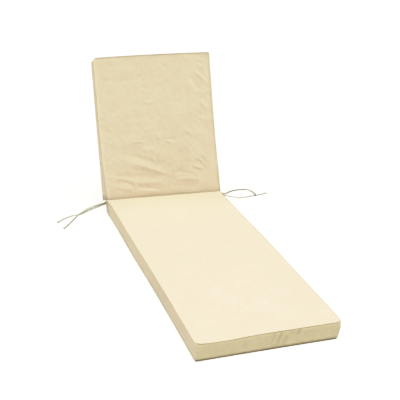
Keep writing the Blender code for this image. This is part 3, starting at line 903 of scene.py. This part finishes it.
def make_hinge_strip(material):
    """The two faces' allowances, sewn together: a thin wavy strip in the opening behind the hinge."""
    across = np.linspace(-HINGE_STRIP_LENGTH / 2, HINGE_STRIP_LENGTH / 2, HINGE_STRIP_COLUMNS)
    down = np.linspace(0.0, HINGE_STRIP_WIDTH, HINGE_STRIP_ROWS)
    ring = [(d, 0.5) for d in down] + [(d, -0.5) for d in reversed(down)]
    verts = []
    for x in across:
        for d, side in ring:
            share = d / HINGE_STRIP_WIDTH
            wave = HINGE_STRIP_WAVE * share * (sin(x / 0.017) + 0.6 * sin(x / 0.0071 + 1.0))
            edge = 0.55 + 0.45 * sin(pi * min(1.0, 0.15 + share * 0.7))
            verts.append((x, HINGE_STRIP_DEPTH + d, wave + side * HINGE_STRIP_THICKNESS * edge))
    strip = mesh_object("hinge_strip", verts, loft_faces(len(across), len(ring)), material)
    halfway = (-pi / 2 + RAISE_ANGLE - pi / 2) / 2
    turn = Euler((halfway, 0.0, HINGE_YAW)).to_matrix().to_4x4()
    strip.data.transform(Matrix.Translation((0.0, HINGE_Y, THICKNESS)) @ turn)
    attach(strip, "root")
    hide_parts("hinge_seam")


# Materials

class Nodes:
    """Short names for building a material's nodes."""

    def __init__(self, name):
        self.material = bpy.data.materials.new(name)
        self.material.use_nodes = True
        self.tree = self.material.node_tree
        self.shader = self.tree.nodes["Principled BSDF"]

    def add(self, kind, **values):
        node = self.tree.nodes.new(kind)
        for key, value in values.items():
            setattr(node, key, value)
        return node

    def link(self, source, target):
        self.tree.links.new(source, target)

    def stored(self, title):
        return self.add("ShaderNodeAttribute", attribute_name=title).outputs["Fac"]

    def maths(self, operation, first, second=None):
        node = self.add("ShaderNodeMath", operation=operation)
        for socket, value in zip(node.inputs, (first, second)):
            if isinstance(value, (int, float)):
                socket.default_value = value
            elif value is not None:
                self.link(value, socket)
        return node.outputs[0]

    def noise(self, vector, scale, detail=2.0, roughness=0.5):
        node = self.add("ShaderNodeTexNoise")
        node.inputs["Scale"].default_value = scale
        node.inputs["Detail"].default_value = detail
        node.inputs["Roughness"].default_value = roughness
        self.link(vector, node.inputs["Vector"])
        return node.outputs["Fac"]

    def stretched(self, vector, scale):
        node = self.add("ShaderNodeMapping")
        node.inputs["Scale"].default_value = scale
        self.link(vector, node.inputs["Vector"])
        return node.outputs["Vector"]

    def scaled(self, value, to_low, to_high):
        """A noise spread from its usual range to another."""
        node = self.add("ShaderNodeMapRange")
        for key, number in zip(("From Min", "From Max", "To Min", "To Max"), (*NOISE_RANGE, to_low, to_high)):
            node.inputs[key].default_value = number
        self.link(value, node.inputs["Value"])
        return node.outputs["Result"]

    def tinted(self, colour, brightness):
        """A colour made brighter or darker by a value, with its hue a little warmer where it's dark."""
        mix = self.add("ShaderNodeMix", data_type="RGBA", blend_type="MULTIPLY")
        mix.inputs["Factor"].default_value = 1.0
        if isinstance(colour, tuple):
            mix.inputs["A"].default_value = colour
        else:
            self.link(colour, mix.inputs["A"])
        combine = self.add("ShaderNodeCombineColor")
        self.link(brightness, combine.inputs["Red"])
        self.link(self.maths("POWER", brightness, DARK_GREEN), combine.inputs["Green"])
        self.link(self.maths("POWER", brightness, DARK_BLUE), combine.inputs["Blue"])
        self.link(combine.outputs["Color"], mix.inputs["B"])
        return mix.outputs["Result"]

    def bump(self, height, distance, strength, below=None):
        node = self.add("ShaderNodeBump")
        node.inputs["Strength"].default_value = strength
        node.inputs["Distance"].default_value = distance
        self.link(height, node.inputs["Height"])
        if below is not None:
            self.link(below, node.inputs["Normal"])
        return node.outputs["Normal"]


def weave_height(nodes, cloth, pitch):
    """Plain weave: each thread goes over one crossing thread and under the next."""
    split = nodes.add("ShaderNodeSeparateXYZ")
    nodes.link(cloth, split.inputs["Vector"])
    across = nodes.maths("SINE", nodes.maths("MULTIPLY", split.outputs["X"], pi / pitch))
    along = nodes.maths("SINE", nodes.maths("MULTIPLY", split.outputs["Y"], pi / pitch))
    return nodes.maths("MULTIPLY", across, along)


def matt_finish(nodes, roughness):
    nodes.shader.inputs["Roughness"].default_value = roughness
    nodes.shader.inputs["Specular IOR Level"].default_value = CLOTH_SPECULAR
    nodes.shader.inputs["Sheen Weight"].default_value = CLOTH_SHEEN
    nodes.shader.inputs["Sheen Roughness"].default_value = SHEEN_ROUGHNESS
    nodes.shader.inputs["Sheen Tint"].default_value = SHEEN_TINT
    return nodes.material


def panel_cloth(name, shift):
    """Cover cloth: plain weave, faint slubs and mottling, fine crinkles, and the painted light and shade kept
    on its points: painted shade in the seams, beside the hinge and along the lower edge, painted highlights,
    and the foot's boxing in a darker painted-shade colour.
    """
    nodes = Nodes(name)
    cloth_map = nodes.add("ShaderNodeUVMap", uv_map="cloth").outputs["UV"]
    place = nodes.add("ShaderNodeMapping")
    place.inputs["Location"].default_value = shift
    nodes.link(cloth_map, place.inputs["Vector"])
    cloth = place.outputs["Vector"]
    light = nodes.stored("light")

    mottle = nodes.noise(cloth, MOTTLE_SCALE, 3.0, 0.6)
    patches = nodes.noise(cloth, PATCH_SCALE)
    weft = nodes.noise(nodes.stretched(cloth, (SLUB_ALONG, SLUB_ACROSS, 1.0)), 1.0)
    warp = nodes.noise(nodes.stretched(cloth, (SLUB_ACROSS, SLUB_ALONG, 1.0)), 1.0)
    brightness = nodes.scaled(mottle, -MOTTLE, MOTTLE)
    brightness = nodes.maths("ADD", brightness, nodes.scaled(patches, 1.0 - PATCHES, 1.0 + PATCHES))
    brightness = nodes.maths("ADD", brightness, nodes.scaled(weft, -SLUB, SLUB))
    brightness = nodes.maths("ADD", brightness, nodes.scaled(warp, -SLUB, SLUB))
    # painted light and shade from each point's light value
    brightness = nodes.maths("MULTIPLY", brightness, light)
    # the foot's boxing in its painted-shade colour
    foot_in_shade = nodes.stored("foot")
    cover = nodes.add("ShaderNodeMix", data_type="RGBA")
    cover.inputs["A"].default_value = COVER_COLOUR
    cover.inputs["B"].default_value = FOOT_SHADE_COLOUR
    nodes.link(foot_in_shade, cover.inputs["Factor"])
    nodes.link(nodes.tinted(cover.outputs["Result"], brightness), nodes.shader.inputs["Base Color"])

    crinkle = nodes.noise(cloth, CRINKLE_SCALE, 4.0, 0.6)
    normal = nodes.bump(crinkle, CRINKLE_HEIGHT, 1.0)
    slubs = nodes.maths("MULTIPLY", weft, SLUB_SHARE)
    threads = nodes.maths("ADD", weave_height(nodes, cloth, THREAD_PITCH), slubs)
    normal = nodes.bump(threads, THREAD_HEIGHT, 0.8, normal)
    nodes.link(normal, nodes.shader.inputs["Normal"])
    return matt_finish(nodes, PANEL_ROUGHNESS)


def strip_cloth(name, colour, shaded):
    """Cloth of the narrow strips: fibres that run along them, uneven wear, and, where shaded, the painted
    light and shade kept on its points.
    """
    nodes = Nodes(name)
    place = nodes.add("ShaderNodeTexCoord").outputs["Object"]
    wear = nodes.noise(place, WEAR_SCALE, 3.0)
    fibres = nodes.noise(nodes.stretched(place, FIBRE_SCALE), 1.0)
    brightness = nodes.maths("ADD", nodes.scaled(wear, 0.93, 1.07), nodes.scaled(fibres, -0.05, 0.05))
    # painted shade and highlights along the tie strips
    if shaded:
        brightness = nodes.maths("MULTIPLY", brightness, nodes.stored("light"))
    nodes.link(nodes.tinted(colour, brightness), nodes.shader.inputs["Base Color"])
    nodes.link(nodes.bump(fibres, FIBRE_HEIGHT, 0.7), nodes.shader.inputs["Normal"])
    return matt_finish(nodes, STRIP_ROUGHNESS)


def floor_paint():
    """Pale studio floor that glows, so that it is white and the cushion's shade on it stays faint."""
    nodes = Nodes("floor_white")
    nodes.shader.inputs["Base Color"].default_value = FLOOR_COLOUR
    nodes.shader.inputs["Roughness"].default_value = 0.95
    nodes.shader.inputs["Specular IOR Level"].default_value = 0.0
    nodes.shader.inputs["Emission Color"].default_value = FLOOR_GLOW_COLOUR
    nodes.shader.inputs["Emission Strength"].default_value = FLOOR_GLOW
    return nodes.material


# Floor and light

def make_floor():
    bpy.ops.mesh.primitive_plane_add(size=FLOOR_SIZE, location=(0.0, 0.0, -FLOOR_GAP))
    floor = bpy.context.object
    floor.name = "floor"
    floor.data.materials.append(floor_paint())


def make_lamp(name, strength, angle, colour, comes_from):
    data = bpy.data.lights.new(name, "SUN")
    data.energy = strength
    data.angle = angle
    data.color = colour
    lamp = add_object(name, data)
    lamp.rotation_euler = Vector(comes_from).to_track_quat("Z", "Y").to_euler()


def make_light():
    world = bpy.data.worlds.new("studio")
    bpy.context.scene.world = world
    world.use_nodes = True
    background = world.node_tree.nodes["Background"]
    background.inputs["Color"].default_value = WORLD_COLOUR
    background.inputs["Strength"].default_value = WORLD_STRENGTH
    make_lamp("soft_light", SUN_STRENGTH, SUN_ANGLE, SUN_COLOUR, SUN_FROM)
    make_lamp("side_light", SIDE_STRENGTH, SIDE_ANGLE, SIDE_COLOUR, SIDE_FROM)

    data = bpy.data.lights.new("foot_light", "AREA")
    data.energy = FOOT_LIGHT_POWER
    data.size = FOOT_LIGHT_SIZE
    add_object("foot_light", data).location = FOOT_LIGHT_PLACE


def set_tone():
    """The photograph's tone: colours pale a little where they come near to white."""
    view = bpy.context.scene.view_settings
    view.view_transform = "Standard"
    view.use_curve_mapping = True
    mapping = view.curve_mapping
    mapping.white_level = (TONE_WHITE, TONE_WHITE, TONE_WHITE)
    curve = mapping.curves[COMBINED_CURVE]
    for light, _ in TONE_POINTS[1:-1]:
        curve.points.new(light / TONE_WHITE, 0.0)
    for point, (light, shown) in zip(curve.points, TONE_POINTS):
        point.location = (light / TONE_WHITE, shown)
    mapping.update()


make_camera()
tie_cloth = strip_cloth("tie_cloth", TIE_COLOUR, True)
for tie_name in TIE_ROUTES:
    make_tie(tie_name, tie_cloth)
make_floor()
make_light()
set_tone()
make_section(SEAT, "seat_cushion", panel_cloth("seat_cloth", SEAT_CLOTH_SHIFT))
make_section(BACK, "back_cushion", panel_cloth("back_cloth", BACK_CLOTH_SHIFT))
make_hinge_strip(strip_cloth("seam_cloth", SEAM_COLOUR, False))
